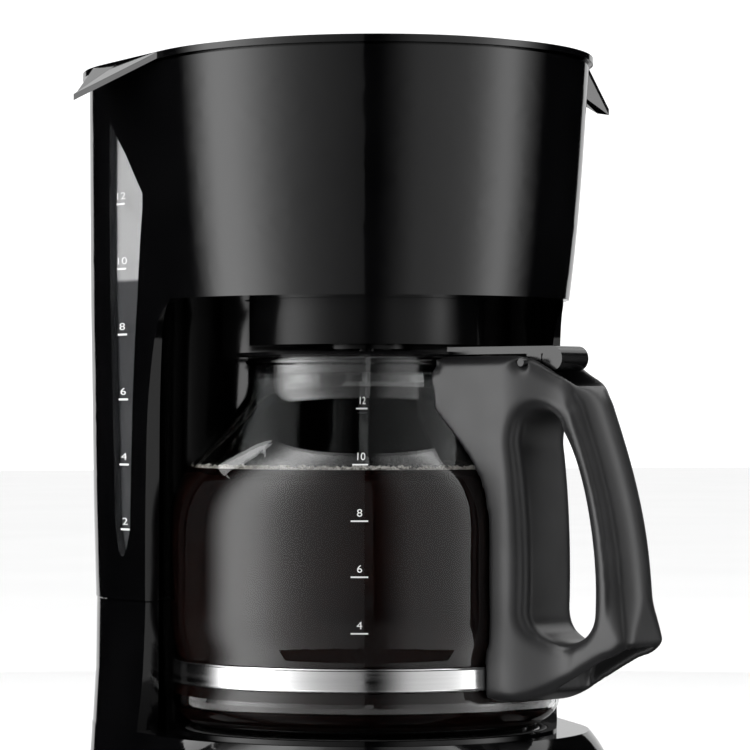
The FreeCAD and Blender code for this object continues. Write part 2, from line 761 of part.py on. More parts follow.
# ---- carafe ----
glass_outer = [
    (60.0, glass_bottom_z),
    (67.0, 62.8),
    (72.4, 66.6),
    (75.0, 71.4),
    (74.6, 76.0),
    (73.5, 80.0),
    (73.3, 84.0),
    (73.6, 88.6),
    (74.9, 94.0),
    (glass_radius, 101.0),
    (glass_radius, 114.0),
    (glass_radius, 128.0),
    (75.6, 143.0),
    (73.4, 153.4),
    (69.0, 162.4),
    (63.2, 170.0),
    (56.6, 177.4),
    (50.2, 184.4),
    (46.8, 190.6),
    (neck_radius, 196.6),
    (neck_radius, glass_top_z),
]


def glass_outline(offset):
    """The carafe's outer profile moved outwards by offset, as a spline edge."""
    points = []
    count = len(glass_outer)
    for i, (r, z) in enumerate(glass_outer):
        before = glass_outer[max(i - 1, 0)]
        after = glass_outer[min(i + 1, count - 1)]
        along_r, along_z = after[0] - before[0], after[1] - before[1]
        length = math.hypot(along_r, along_z)
        if i == 0:
            along_r, along_z, length = 1.0, 0.0, 1.0
        points.append(Vector(r + offset * along_z / length, 0, z - offset * along_r / length))
    return points


def glass_solid(offset, top):
    """A solid of revolution under the glass profile, closed at the axis."""
    points = glass_outline(offset)
    points[-1] = Vector(points[-1].x, 0, top)
    edges = [
        smooth(points),
        Part.LineSegment(points[-1], Vector(0, 0, top)).toShape(),
        Part.LineSegment(Vector(0, 0, top), Vector(0, 0, points[0].z)).toShape(),
        Part.LineSegment(Vector(0, 0, points[0].z), points[0]).toShape(),
    ]
    return Part.Face(Part.Wire(edges)).revolve(Vector(0, 0, 0), up, 360)


def make_carafe_glass():
    glass = glass_solid(0, glass_top_z).cut(glass_solid(-glass_wall, glass_top_z + 2))
    lip = Part.makeTorus(neck_radius - 0.4, 1.4, Vector(0, 0, glass_top_z - 1.2), up)
    lip = lip.cut(cylinder(neck_radius - glass_wall, 190, 215))
    return glass.fuse(lip).removeSplitter()


def make_carafe_band():
    band = ring(74.2, 74.9, band_bottom_z, band_top_z)
    lips = [Part.makeTorus(74.5, 0.55, Vector(0, 0, z), up) for z in (band_bottom_z + 0.4, band_top_z - 0.4)]
    return band.multiFuse(lips).removeSplitter()


def handle_face(points):
    """A closed face in the handle's own upright plane from a mix of corner and spline stretches."""
    edges = []
    for stretch in points:
        corners = [Vector(r, -handle_half_width, z) for r, z in stretch]
        if len(corners) == 2:
            edges.append(Part.LineSegment(*corners).toShape())
        else:
            edges.append(smooth(corners))
    return Part.Face(Part.Wire(edges))


def make_carafe_handle():
    """Attachment panel that hugs the glass, and a bowed grip, hollow and open at its lower end."""
    thickness = Vector(0, 2 * handle_half_width, 0)
    outline = handle_face(
        [
            [(46, 204.0), (82, 204.0)],
            [(82, 204.0), (91, 202.2), (102, 196.6), (112, 191.4), (116.2, 185.0)],
            [(116.2, 185.0), (121.8, 170.4), (127.2, 153.6), (131.2, 136.0), (133.4, 118.0), (134.6, 98.6)],
            [(134.6, 98.6), (131.6, 95.0), (124.0, 91.6)],
            [(124.0, 91.6), (107.0, 82.6), (94.6, 77.0), (85.6, 74.8)],
            [(85.6, 74.8), (60, 74.8)],
            [(60, 74.8), (46, 204.0)],
        ]
    )
    solid = outline.extrude(thickness)
    opening = handle_face(
        [
            [(86.5, 168.0), (88.8, 148.0), (89.6, 112.0)],
            [(89.6, 112.0), (90.8, 104.0), (96.9, 99.4)],
            [(96.9, 99.4), (103.6, 97.4), (111.6, 99.2), (117.4, 106.6)],
            [(117.4, 106.6), (117.6, 122.0), (115.0, 142.9), (110.0, 161.7), (103.0, 176.0)],
            [(103.0, 176.0), (97.6, 182.8), (91.2, 183.0), (87.2, 178.0), (86.5, 168.0)],
        ]
    ).extrude(thickness)
    plan = Part.Wire(
        [
            Part.makePolygon([Vector(40, -18, 60), Vector(40, 18, 60)]).Edges[0],
            Part.makePolygon([Vector(40, 18, 60), Vector(80, 18, 60)]).Edges[0],
            smooth([Vector(80, 18, 60), Vector(89, 16.6, 60), Vector(99, 13.6, 60), Vector(110, 13, 60)]),
            Part.makePolygon([Vector(110, 13, 60), Vector(140, 13, 60)]).Edges[0],
            Part.makePolygon([Vector(140, 13, 60), Vector(140, -13, 60)]).Edges[0],
            Part.makePolygon([Vector(140, -13, 60), Vector(110, -13, 60)]).Edges[0],
            smooth([Vector(110, -13, 60), Vector(99, -13.6, 60), Vector(89, -16.6, 60), Vector(80, -18, 60)]),
            Part.makePolygon([Vector(80, -18, 60), Vector(40, -18, 60)]).Edges[0],
        ]
    )
    solid = solid.cut(opening).common(Part.Face(plan).extrude(Vector(0, 0, 150)))
    solid = solid.cut(glass_solid(0.5, 215.0))
    solid = solid.cut(cylinder(51.2, glass_top_z - 3.2, 215.0))
    slot = block(78.0, 121.0, -8.7, 8.7, 192.6, 215.0)
    solid = solid.cut(slot)
    hollow_edges = [
        [(131.2, 100.0), (130.6, 112.0)],
        [(130.6, 112.0), (122.5, 112.0)],
        [(122.5, 112.0), (120.5, 102.0), (112.5, 94.8), (103.5, 92.5)],
        [(103.5, 92.5), (101.0, 84.0)],
        [(101.0, 84.0), (101.0, 70.0)],
        [(101.0, 70.0), (136.0, 70.0)],
        [(136.0, 70.0), (131.2, 100.0)],
    ]
    solid = solid.cut(handle_face(hollow_edges).extrude(thickness).common(block(90, 140, -10.2, 10.2, 60, 120)))
    band_seat = ring(60, 75.3, band_bottom_z - 1, band_top_z + 1)
    solid = solid.cut(band_seat)
    solid = solid.cut(Part.makeCylinder(1.5, 40, Vector(lid_pin_r, -20, lid_pin_z), Vector(0, 1, 0)))
    solid = solid.cut(Part.makeCylinder(1.65, 9, Vector(75.0, 0, 83.3), Vector(1, 0, 0)))
    return turned(solid.removeSplitter(), handle_turn_deg)


def make_handle_screw():
    """The screw that draws the band's ends together inside the handle's foot."""
    outward = Vector(1, 0, 0)
    shank = Part.makeCylinder(1.6, 8, Vector(75.4, 0, 83.3), outward)
    return turned(shank, handle_turn_deg)


def make_carafe_lid():
    """Flanged lid with a dished centre and a thumb lever that runs out over the handle."""
    top = glass_top_z
    dish = revolved(
        [
            (5.0, top - 5.4),
            (42.9, top - 5.4),
            (42.9, top + 0.5),
            (49.8, top + 0.5),
            (50.6, top + 1.3),
            (50.2, top + 2.3),
            (38.0, top + 2.3),
            (34.0, top - 1.0),
            (12.0, top - 2.4),
            (5.0, top - 2.4),
        ]
    )
    hollow = revolved([(36.4, top - 9), (41.3, top - 9), (41.3, top - 0.8), (36.4, top - 0.8)])
    dish = dish.cut(hollow)
    lever = block(47.0, 97.0, -8.2, 8.2, top + 1.2, top + 4.0)
    pad = Part.makeCylinder(4.6, 16.4, Vector(97.0, -8.2, top - 0.6), Vector(0, 1, 0))
    stalk = block(lid_pin_r - 3.4, lid_pin_r + 3.4, -8.2, 8.2, lid_pin_z, top + 2.0)
    barrel = Part.makeCylinder(3.4, 16.4, Vector(lid_pin_r, -8.2, lid_pin_z), Vector(0, 1, 0))
    tongue = joined([lever, pad, stalk, barrel])
    tongue = tongue.cut(Part.makeCylinder(1.55, 20, Vector(lid_pin_r, -10, lid_pin_z), Vector(0, 1, 0)))
    return joined([dish, turned(tongue, handle_turn_deg)])


def make_carafe_lid_pin():
    pin = Part.makeCylinder(1.49, 32.8, Vector(lid_pin_r, -16.4, lid_pin_z), Vector(0, 1, 0))
    return turned(pin, handle_turn_deg)


nodes = {
    "base_housing": make_base_housing,
    "main_housing": make_main_housing,
    "water_window": make_water_window,
    "water_tank": make_water_tank,
    "basket_well": make_basket_well,
    "bottom_cover": make_bottom_cover,
    "rubber_feet": make_rubber_feet,
    "bottom_screws": make_bottom_screws,
    "switch_bezel": make_switch_bezel,
    "power_switch": make_power_switch,
    "cord_bush": make_cord_bush,
    "warming_plate": make_warming_plate,
    "plate_seal": make_plate_seal,
    "heating_element": make_heating_element,
    "water_heater_tube": make_water_heater_tube,
    "element_clip": make_element_clip,
    "thermostat": make_thermostat,
    "thermal_fuses": make_thermal_fuses,
    "one_way_valve": make_one_way_valve,
    "inlet_hose": make_inlet_hose,
    "riser_tube": make_riser_tube,
    "terminal_block": make_terminal_block,
    "lid": make_lid,
    "lid_pins": make_lid_pins,
    "shower_head": make_shower_head,
    "brew_basket": make_brew_basket,
    "valve_cage": make_valve_cage,
    "valve_plunger": make_valve_plunger,
    "valve_seal": make_valve_seal,
    "valve_spring": make_valve_spring,
    "carafe_glass": make_carafe_glass,
    "carafe_band": make_carafe_band,
    "carafe_handle": make_carafe_handle,
    "handle_screw": make_handle_screw,
    "carafe_lid": make_carafe_lid,
    "carafe_lid_pin": make_carafe_lid_pin,
}


def main():
    os.makedirs("parts", exist_ok=True)
    low = Vector(1e9, 1e9, 1e9)
    high = Vector(-1e9, -1e9, -1e9)
    for name, make in nodes.items():
        shape = make()
        shape.translate(Vector(0, frame_shift_y, 0))
        shape.exportStep(f"parts/{name}.step")
        box = shape.BoundBox
        low = Vector(min(low.x, box.XMin), min(low.y, box.YMin), min(low.z, box.ZMin))
        high = Vector(max(high.x, box.XMax), max(high.y, box.YMax), max(high.z, box.ZMax))
        solids = len(shape.Solids)
        print(f"{name}: {solids} solids, {shape.Volume / 1000:.1f} cm3, valid {shape.isValid()}")
    print("low", [round(v, 2) for v in low], "high", [round(v, 2) for v in high])


main()
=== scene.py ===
"""Looks for the drip coffee maker: materials, coffee, water, printed scales, soft handle, room and camera.

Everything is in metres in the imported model's frame. The machine faces -Y and stands on z = 0.
"""

import math
import random

import bmesh
import bpy
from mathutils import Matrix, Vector
from mathutils.bvhtree import BVHTree
from mathutils.kdtree import KDTree


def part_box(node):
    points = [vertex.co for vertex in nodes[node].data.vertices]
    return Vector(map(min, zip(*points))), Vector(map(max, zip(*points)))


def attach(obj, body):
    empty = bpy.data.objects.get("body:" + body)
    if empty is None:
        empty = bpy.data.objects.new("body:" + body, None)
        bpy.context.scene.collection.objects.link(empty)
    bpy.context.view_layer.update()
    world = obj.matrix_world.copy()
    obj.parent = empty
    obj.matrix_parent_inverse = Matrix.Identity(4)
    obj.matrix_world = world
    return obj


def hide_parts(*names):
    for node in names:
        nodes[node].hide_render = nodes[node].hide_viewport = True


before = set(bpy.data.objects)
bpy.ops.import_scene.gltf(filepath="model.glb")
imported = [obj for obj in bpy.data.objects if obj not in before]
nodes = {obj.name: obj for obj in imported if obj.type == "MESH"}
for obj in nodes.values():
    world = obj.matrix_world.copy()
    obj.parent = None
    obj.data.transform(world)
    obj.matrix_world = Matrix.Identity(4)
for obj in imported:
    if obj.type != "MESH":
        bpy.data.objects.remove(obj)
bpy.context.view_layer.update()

mm = 0.001
plate_low, plate_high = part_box("warming_plate")
axis_x = (plate_low.x + plate_high.x) / 2
axis_y = (plate_low.y + plate_high.y) / 2

coffee_level = 161.0 * mm
water_level = 234.4 * mm
glass_marks = {4: 101.0, 6: 121.9, 8: 142.6, 10: 163.4, 12: 184.3}
window_marks = {2: 137.5, 4: 162.7, 6: 188.0, 8: 213.2, 10: 238.7, 12: 263.9}
window_mark_y = 28.8 * mm + axis_y
camera_azimuth = math.radians(-19.0)
camera_distance = 1.5
camera_height = 0.18


# ---- materials ----
def shader_of(material):
    return material.node_tree.nodes["Principled BSDF"]


def new_material(name, **values):
    """A material whose principled shader has the given socket values."""
    material = bpy.data.materials.new(name)
    material.use_nodes = True
    for socket, value in values.items():
        shader_of(material).inputs[socket.replace("_", " ")].default_value = value
    return material


def add_node(material, kind, **values):
    node = material.node_tree.nodes.new(kind)
    for socket, value in values.items():
        node.inputs[socket.replace("_", " ")].default_value = value
    return node


def link(material, source, output, target, socket):
    material.node_tree.links.new(source.outputs[output], target.inputs[socket])


def noise_of(material, scale, detail=3.0, stretch=(1, 1, 1)):
    """Noise in object coordinates, with scale in features per metre."""
    place = add_node(material, "ShaderNodeTexCoord")
    mapping = add_node(material, "ShaderNodeMapping", Scale=stretch)
    texture = add_node(material, "ShaderNodeTexNoise", Scale=scale, Detail=detail)
    link(material, place, "Object", mapping, "Vector")
    link(material, mapping, "Vector", texture, "Vector")
    return texture


def vary_roughness(material, low, high, scale, stretch=(1, 1, 1)):
    """Roughness that drifts between two values."""
    texture = noise_of(material, scale, 5.0, stretch)
    spread = add_node(material, "ShaderNodeMapRange", From_Min=0.3, From_Max=0.7, To_Min=low, To_Max=high)
    link(material, texture, "Fac", spread, "Value")
    link(material, spread, "Result", shader_of(material), "Roughness")


def vary_colour(material, first, second, scale, stretch=(1, 1, 1)):
    """Base colour that drifts between two colours."""
    texture = noise_of(material, scale, 4.0, stretch)
    ramp = add_node(material, "ShaderNodeValToRGB")
    ramp.color_ramp.elements[0].position = 0.35
    ramp.color_ramp.elements[0].color = (*first, 1)
    ramp.color_ramp.elements[1].position = 0.65
    ramp.color_ramp.elements[1].color = (*second, 1)
    link(material, texture, "Fac", ramp, "Fac")
    link(material, ramp, "Color", shader_of(material), "Base Color")
    return ramp


def add_bump(material, scale, strength, height, stretch=(1, 1, 1)):
    """A fine relief, height in metres."""
    texture = noise_of(material, scale, 2.0, stretch)
    bump = add_node(material, "ShaderNodeBump", Strength=strength, Distance=height)
    link(material, texture, "Fac", bump, "Height")
    link(material, bump, "Normal", shader_of(material), "Normal")


def plastic(name, first, second, low, high, grain, strength, shine=0.5):
    """A moulded plastic with a little drift in tone and gloss, and a fine grain."""
    material = new_material(name, Specular_IOR_Level=shine)
    vary_colour(material, first, second, 40)
    vary_roughness(material, low, high, 55)
    add_bump(material, grain, strength, 0.00005)
    return material


def metal(name, first, second, low, high, stretch):
    """A brushed metal whose brushing runs across the stretched axis."""
    material = new_material(name, Metallic=1.0)
    vary_colour(material, first, second, 300, stretch)
    vary_roughness(material, low, high, 500, stretch)
    add_bump(material, 900, 0.15, 0.00002, stretch)
    return material


def make_gloss_black():
    """Polished black moulding: mirror gloss, with a faint waviness and a trace of dust and wiping marks."""
    material = new_material("gloss_black")
    vary_colour(material, (0.0012, 0.0012, 0.0014), (0.0022, 0.0022, 0.0024), 25)
    vary_roughness(material, 0.045, 0.10, 30)
    add_bump(material, 45, 0.06, 0.0002)
    return material


def make_glass():
    material = new_material("clear_glass", Transmission_Weight=1.0, IOR=1.47)
    vary_colour(material, (0.96, 0.97, 0.97), (0.985, 0.99, 0.99), 20)
    vary_roughness(material, 0.0, 0.012, 40)
    add_bump(material, 30, 0.04, 0.0002)
    return material


def make_window():
    """Smoked clear plastic, thin enough to see the tank behind it."""
    material = new_material("smoked_window", Alpha=0.20)
    vary_colour(material, (0.03, 0.031, 0.033), (0.05, 0.051, 0.053), 60)
    vary_roughness(material, 0.06, 0.12, 40)
    add_bump(material, 60, 0.05, 0.0002)
    return material


def make_tank():
    """Frosted grey plastic, pale above the water level and dark below it: the dark is painted shade that
    stands in for the water-filled tank looking dark through the wall.
    """
    ripple_height = 0.6 * mm
    # How far below and above the water level the painted shade fades into the pale plastic.
    painted_shade_edge_below = 0.4 * mm
    painted_shade_edge_above = 0.9 * mm
    material = new_material("frosted_tank")
    place = add_node(material, "ShaderNodeTexCoord")
    split = add_node(material, "ShaderNodeSeparateXYZ")
    ripple = noise_of(material, 160)
    shift = add_node(material, "ShaderNodeMath")
    shift.operation = "MULTIPLY_ADD"
    shift.inputs[1].default_value = ripple_height
    span = add_node(material, "ShaderNodeMapRange")
    span.inputs["From Min"].default_value = water_level - painted_shade_edge_below
    span.inputs["From Max"].default_value = water_level + painted_shade_edge_above
    # Dark below the water level, pale above: the dark colour is painted shade, not the plastic's own tone.
    ramp = add_node(material, "ShaderNodeValToRGB")
    ramp.color_ramp.elements[0].color = (0.075, 0.076, 0.08, 1)
    ramp.color_ramp.elements[1].color = (0.78, 0.78, 0.785, 1)
    link(material, place, "Object", split, "Vector")
    link(material, ripple, "Fac", shift, 0)
    link(material, split, "Z", shift, 2)
    link(material, shift, "Value", span, "Value")
    link(material, span, "Result", ramp, "Fac")
    link(material, ramp, "Color", shader_of(material), "Base Color")
    vary_roughness(material, 0.35, 0.5, 60)
    add_bump(material, 1800, 0.1, 0.00005)
    return material


def make_coffee():
    material = new_material("coffee", IOR=1.33, Specular_IOR_Level=0.12)
    vary_colour(material, (0.0045, 0.0018, 0.0016), (0.009, 0.0034, 0.0026), 30)
    vary_roughness(material, 0.02, 0.06, 80)
    add_bump(material, 70, 0.03, 0.0002)
    return material


def make_water():
    material = new_material("water", Transmission_Weight=1.0, IOR=1.33)
    vary_colour(material, (0.93, 0.95, 0.96), (0.96, 0.97, 0.98), 20)
    vary_roughness(material, 0.0, 0.02, 60)
    add_bump(material, 80, 0.03, 0.0002)
    return material


# Each plastic has its dark and pale tone, its least and most roughness, its grains per metre and the
# strength of its grain. The last number of basket_black is a lower shine.
plastics = {
    "satin_black": ((0.010, 0.010, 0.0105), (0.016, 0.016, 0.017), 0.22, 0.34, 1400, 0.10),
    "moulded_black": ((0.003, 0.003, 0.0032), (0.006, 0.006, 0.0062), 0.10, 0.20, 1400, 0.05),
    "basket_black": ((0.002, 0.002, 0.0022), (0.004, 0.004, 0.0042), 0.12, 0.22, 1400, 0.05, 0.2),
    "inner_black": ((0.012, 0.012, 0.012), (0.020, 0.020, 0.021), 0.38, 0.55, 1600, 0.16),
    "handle_grey": ((0.016, 0.016, 0.0165), (0.023, 0.023, 0.024), 0.30, 0.38, 1700, 0.09),
    "plate_coat": ((0.006, 0.006, 0.006), (0.012, 0.012, 0.012), 0.16, 0.30, 2200, 0.12),
    "rubber": ((0.012, 0.012, 0.012), (0.022, 0.022, 0.022), 0.6, 0.8, 900, 0.2),
    "dark_silicone": ((0.03, 0.03, 0.03), (0.05, 0.05, 0.05), 0.4, 0.55, 900, 0.1),
    "milky_silicone": ((0.50, 0.50, 0.48), (0.62, 0.62, 0.60), 0.35, 0.5, 700, 0.1),
    "ceramic": ((0.62, 0.60, 0.55), (0.74, 0.72, 0.66), 0.4, 0.6, 900, 0.15),
    "print_white": ((0.72, 0.72, 0.72), (0.84, 0.84, 0.84), 0.4, 0.55, 1500, 0.1),
    "foam": ((0.40, 0.37, 0.33), (0.72, 0.69, 0.65), 0.15, 0.35, 1500, 0.2),
}
# Each metal has its dark and pale tone, its least and most roughness, and how far its brushing is stretched.
metals = {
    "zinc": ((0.50, 0.50, 0.51), (0.64, 0.64, 0.65), 0.22, 0.36, (1, 1, 1)),
    "band_steel": ((0.74, 0.74, 0.745), (0.82, 0.82, 0.82), 0.10, 0.20, (0.02, 0.02, 1)),
    "aluminium": ((0.55, 0.55, 0.55), (0.68, 0.68, 0.68), 0.3, 0.45, (1, 1, 0.02)),
    "sheath": ((0.30, 0.27, 0.24), (0.42, 0.39, 0.36), 0.3, 0.5, (1, 1, 1)),
}
finish = {"gloss_black": make_gloss_black()}
for name, values in plastics.items():
    finish[name] = plastic(name, *values)
for name, values in metals.items():
    finish[name] = metal(name, *values)
finish["glass"] = make_glass()
finish["window"] = make_window()
finish["tank"] = make_tank()
finish["coffee"] = make_coffee()
finish["water"] = make_water()
node_finish = {
    "gloss_black": ["main_housing", "base_housing", "lid"],
    "satin_black": ["switch_bezel", "power_switch", "carafe_lid_pin"],
    "moulded_black": ["carafe_lid"],
    "basket_black": ["brew_basket", "valve_plunger"],
    "inner_black": ["basket_well", "bottom_cover", "shower_head", "valve_cage", "one_way_valve"],
    "plate_coat": ["warming_plate"],
    "rubber": ["rubber_feet", "cord_bush"],
    "dark_silicone": ["plate_seal", "valve_seal"],
    "milky_silicone": ["inlet_hose", "riser_tube"],
    "ceramic": ["thermostat", "thermal_fuses", "terminal_block"],
    "zinc": ["bottom_screws", "lid_pins", "handle_screw", "valve_spring", "element_clip"],
    "band_steel": ["carafe_band"],
    "aluminium": ["water_heater_tube"],
    "sheath": ["heating_element"],
    "handle_grey": ["carafe_handle"],
    "glass": ["carafe_glass"],
    "window": ["water_window"],
    "tank": ["water_tank"],
}
for look, members in node_finish.items():
    for node in members:
        nodes[node].data.materials.clear()
        nodes[node].data.materials.append(finish[look])


# ---- mesh helpers ----
def new_piece(name, mesh_or_bmesh, look, body):
    """Links a mesh as a piece that rides on a body."""
    if isinstance(mesh_or_bmesh, bmesh.types.BMesh):
        mesh = bpy.data.meshes.new(name)
        bmesh.ops.recalc_face_normals(mesh_or_bmesh, faces=mesh_or_bmesh.faces)
        mesh_or_bmesh.to_mesh(mesh)
        mesh_or_bmesh.free()
    else:
        mesh = mesh_or_bmesh
    mesh.materials.clear()
    mesh.materials.append(finish[look])
    piece = bpy.data.objects.new(name, mesh)
    bpy.context.scene.collection.objects.link(piece)
    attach(piece, body)
    return piece


def tree_of(*names):
    """A search tree for rays against some CAD nodes."""
    corners = []
    faces = []
    for name in names:
        mesh = nodes[name].data
        faces += [[k + len(corners) for k in p.vertices] for p in mesh.polygons]
        corners += [v.co for v in mesh.vertices]
    return BVHTree.FromPolygons(corners, faces)


def hits_along(tree, start, direction):
    """Distances of every surface that a ray crosses."""
    found = []
    travelled = 0.0
    while True:
        place, _, _, step = tree.ray_cast(start + direction * travelled, direction)
        if place is None:
            return found
        travelled += step + 1e-5
        found.append(travelled)


def smooth_shaded(piece):
    for polygon in piece.data.polygons:
        polygon.use_smooth = True
    return piece


# ---- coffee ----
glass_tree = tree_of("carafe_glass")
inside = Vector((axis_x, axis_y, 115 * mm))
around_steps = 128
bowl_steps = 21
bowl_step_angle = 3.4
wall_steps = 14
wetting = 0.3 * mm


def inner_wall(direction):
    """A point a hair inside the glass wall, so that no air lies between, seen from the middle."""
    _, _, _, reach = glass_tree.ray_cast(inside, direction)
    return inside + direction * (reach + wetting)


def wall_at(height, angle, depth=wetting):
    """A point at one height, this deep in the glass wall from its inner face."""
    start = Vector((axis_x, axis_y, height))
    direction = Vector((math.cos(angle), math.sin(angle), 0))
    _, _, _, reach = glass_tree.ray_cast(start, direction)
    return start + direction * (reach + depth)


def step_angle(i):
    return 2 * math.pi * i / around_steps


def inward_from(edge):
    """The level direction from a point on the wall to the carafe's axis."""
    return (Vector((axis_x, axis_y, edge.z)) - edge).normalized()


def bowl_ring(shape, tilt):
    """Corners all round the lower wall, at one tilt from the carafe's middle."""
    ring = []
    for i in range(around_steps):
        flat = math.cos(tilt)
        direction = Vector((flat * math.cos(step_angle(i)), flat * math.sin(step_angle(i)), math.sin(tilt)))
        ring.append(shape.verts.new(inner_wall(direction)))
    return ring


def wall_ring(shape, height):
    """Corners all round the wall at one height."""
    return [shape.verts.new(wall_at(height, step_angle(i))) for i in range(around_steps)]


def edge_ring(shape, inset, drop):
    """Corners all round the liquid's upper edge, this far in from the wall and below the level."""
    ring = []
    for i in range(around_steps):
        edge = wall_at(coffee_level, step_angle(i))
        ring.append(shape.verts.new(edge + inward_from(edge) * inset - Vector((0, 0, drop))))
    return ring


def make_coffee_body():
    """The liquid: it follows the glass up to its level, where it climbs the wall a little."""
    shape = bmesh.new()
    bottom = shape.verts.new(inner_wall(Vector((0, 0, -1))))
    rings = []
    for step in range(1, bowl_steps + 1):
        rings.append(bowl_ring(shape, math.radians(-90 + bowl_step_angle * step)))
    bowl_top = max(v.co.z for v in rings[-1])
    for step in range(1, wall_steps + 1):
        rings.append(wall_ring(shape, bowl_top + (coffee_level - bowl_top) * step / wall_steps))
    for inset, drop in ((0.4, 0.35), (1.0, 0.65), (2.2, 0.8)):
        rings.append(edge_ring(shape, inset * mm, drop * mm))
    rim = rings[-1]
    centre = Vector((axis_x, axis_y, rim[0].co.z))
    for share in (0.75, 0.5, 0.25):
        rings.append([shape.verts.new(centre + (v.co - centre) * share) for v in rim])
    top = shape.verts.new(centre)
    for lower, upper in zip(rings, rings[1:]):
        for i in range(around_steps):
            j = (i + 1) % around_steps
            shape.faces.new((lower[i], lower[j], upper[j], upper[i]))
    for i in range(around_steps):
        j = (i + 1) % around_steps
        shape.faces.new((bottom, rings[0][j], rings[0][i]))
        shape.faces.new((top, rings[-1][i], rings[-1][j]))
    return smooth_shaded(new_piece("coffee_body", shape, "coffee", "carafe"))


def make_foam():
    """A thin line of bubbles where the coffee meets the glass."""
    count = 1500
    radii = (0.3, 0.38, 0.45, 0.55, 0.7, 0.85)
    chance = random.Random(7)
    shape = bmesh.new()
    for i in range(count):
        angle = 2 * math.pi * (i + chance.uniform(-0.4, 0.4)) / count
        radius = chance.choice(radii) * mm
        height = coffee_level + chance.uniform(-0.75, 1.15) * mm
        edge = wall_at(height, angle, 0.0)
        middle = edge + inward_from(edge) * (radius + chance.uniform(-0.2, 0.5) * mm)
        made = bmesh.ops.create_icosphere(shape, subdivisions=1, radius=radius)
        bmesh.ops.translate(shape, verts=made["verts"], vec=middle)
    return smooth_shaded(new_piece("foam_bubbles", shape, "foam", "carafe"))


# ---- water in the tank ----
def make_tank_water():
    """Water between the tank's walls, from its floor to the level that the window shows."""
    tree = tree_of("water_tank")
    levels = 10
    turns = 120
    first_deg, sweep_deg = 18, 144
    wall_gap = 0.2 * mm
    least_width = 0.8 * mm
    tank_low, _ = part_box("water_tank")
    floor = tank_low.z + 2.2 * mm
    heights = [floor + (water_level - floor) * i / levels for i in range(levels + 1)]
    columns = []
    for step in range(turns + 1):
        angle = math.radians(first_deg + sweep_deg * step / turns)
        direction = Vector((math.cos(angle), math.sin(angle), 0))
        column = []
        for height in heights:
            start = Vector((axis_x, axis_y, height))
            crossed = hits_along(tree, start, direction)
            if len(crossed) < 4:
                break
            near, far = crossed[1] + wall_gap, crossed[2] - wall_gap
            if far - near < least_width:
                break
            column.append((start + direction * near, start + direction * far))
        if len(column) == len(heights):
            columns.append(column)
    shape = bmesh.new()
    inner = [[shape.verts.new(pair[0]) for pair in column] for column in columns]
    outer = [[shape.verts.new(pair[1]) for pair in column] for column in columns]
    last = len(heights) - 1
    for a in range(len(columns) - 1):
        for h in range(last):
            shape.faces.new((inner[a][h], inner[a + 1][h], inner[a + 1][h + 1], inner[a][h + 1]))
            shape.faces.new((outer[a][h], outer[a][h + 1], outer[a + 1][h + 1], outer[a + 1][h]))
        shape.faces.new((inner[a][last], inner[a + 1][last], outer[a + 1][last], outer[a][last]))
        shape.faces.new((inner[a][0], outer[a][0], outer[a + 1][0], inner[a + 1][0]))
    for a in (0, len(columns) - 1):
        for h in range(last):
            shape.faces.new((inner[a][h], inner[a][h + 1], outer[a][h + 1], outer[a][h]))
    return smooth_shaded(new_piece("tank_water", shape, "water", "housing"))


# ---- printed scales ----
print_depth = 0.06 * mm
print_gap = 0.01 * mm
ray_start = 0.2


def text_mesh(words, size, depth):
    """Numbers as a thin solid mesh, centred across and standing on their baseline."""
    curve = bpy.data.curves.new("scale_number", "FONT")
    curve.body = words
    curve.size = size
    curve.align_x = "CENTER"
    curve.extrude = depth / 2
    carrier = bpy.data.objects.new("scale_number", curve)
    bpy.context.scene.collection.objects.link(carrier)
    bpy.context.view_layer.update()
    mesh = bpy.data.meshes.new_from_object(carrier.evaluated_get(bpy.context.evaluated_depsgraph_get()))
    bpy.data.objects.remove(carrier)
    return mesh


def add_text(shape, words, size, depth, place):
    """Adds numbers to a mesh, each corner moved by place(across, up, out)."""
    mesh = text_mesh(words, size, depth)
    before = len(shape.verts)
    shape.from_mesh(mesh)
    shape.verts.ensure_lookup_table()
    for vertex in shape.verts[before:]:
        vertex.co = place(vertex.co.x, vertex.co.y, vertex.co.z)
    bpy.data.meshes.remove(mesh)


def add_tick(shape, left, right, height, depth, place):
    """Adds a bar that follows the surface, in short pieces."""
    pieces = 10
    rise = height / 2
    reach = depth / 2
    corners = ((-rise, -reach), (rise, -reach), (rise, reach), (-rise, reach))
    loops = []
    for i in range(pieces + 1):
        across = left + (right - left) * i / pieces
        loops.append([shape.verts.new(place(across, up, out)) for up, out in corners])
    for first, second in zip(loops, loops[1:]):
        for k in range(4):
            shape.faces.new((first[k], first[(k + 1) % 4], second[(k + 1) % 4], second[k]))
    shape.faces.new(loops[0])
    shape.faces.new(loops[-1])


def make_glass_scale():
    """Ticks and cup numbers on the glass, on the side that faces the camera."""
    glass_radius = 74 * mm
    number_centre = -2.4 * mm
    number_lift = 1.7 * mm
    widening = 1.08
    shape = bmesh.new()

    def on_glass(across, up, out, level):
        angle = camera_azimuth + across / glass_radius
        outward = Vector((math.sin(angle), -math.cos(angle), 0))
        start = Vector((axis_x, axis_y, level + up)) + outward * ray_start
        place, _, _, _ = glass_tree.ray_cast(start, -outward)
        return place + outward * (out + print_depth / 2 + print_gap)

    for cups, level_mm in glass_marks.items():
        level = level_mm * mm

        def tick_place(across, up, out):
            return on_glass(across, up, out, level)

        def number_place(across, up, out):
            return on_glass(across * widening + number_centre, up + number_lift, out, level)

        add_tick(shape, -5.6 * mm, 0.7 * mm, 0.55 * mm, print_depth, tick_place)
        add_text(shape, str(cups), 4.0 * mm, print_depth, number_place)
    return new_piece("glass_scale", shape, "print_white", "carafe")


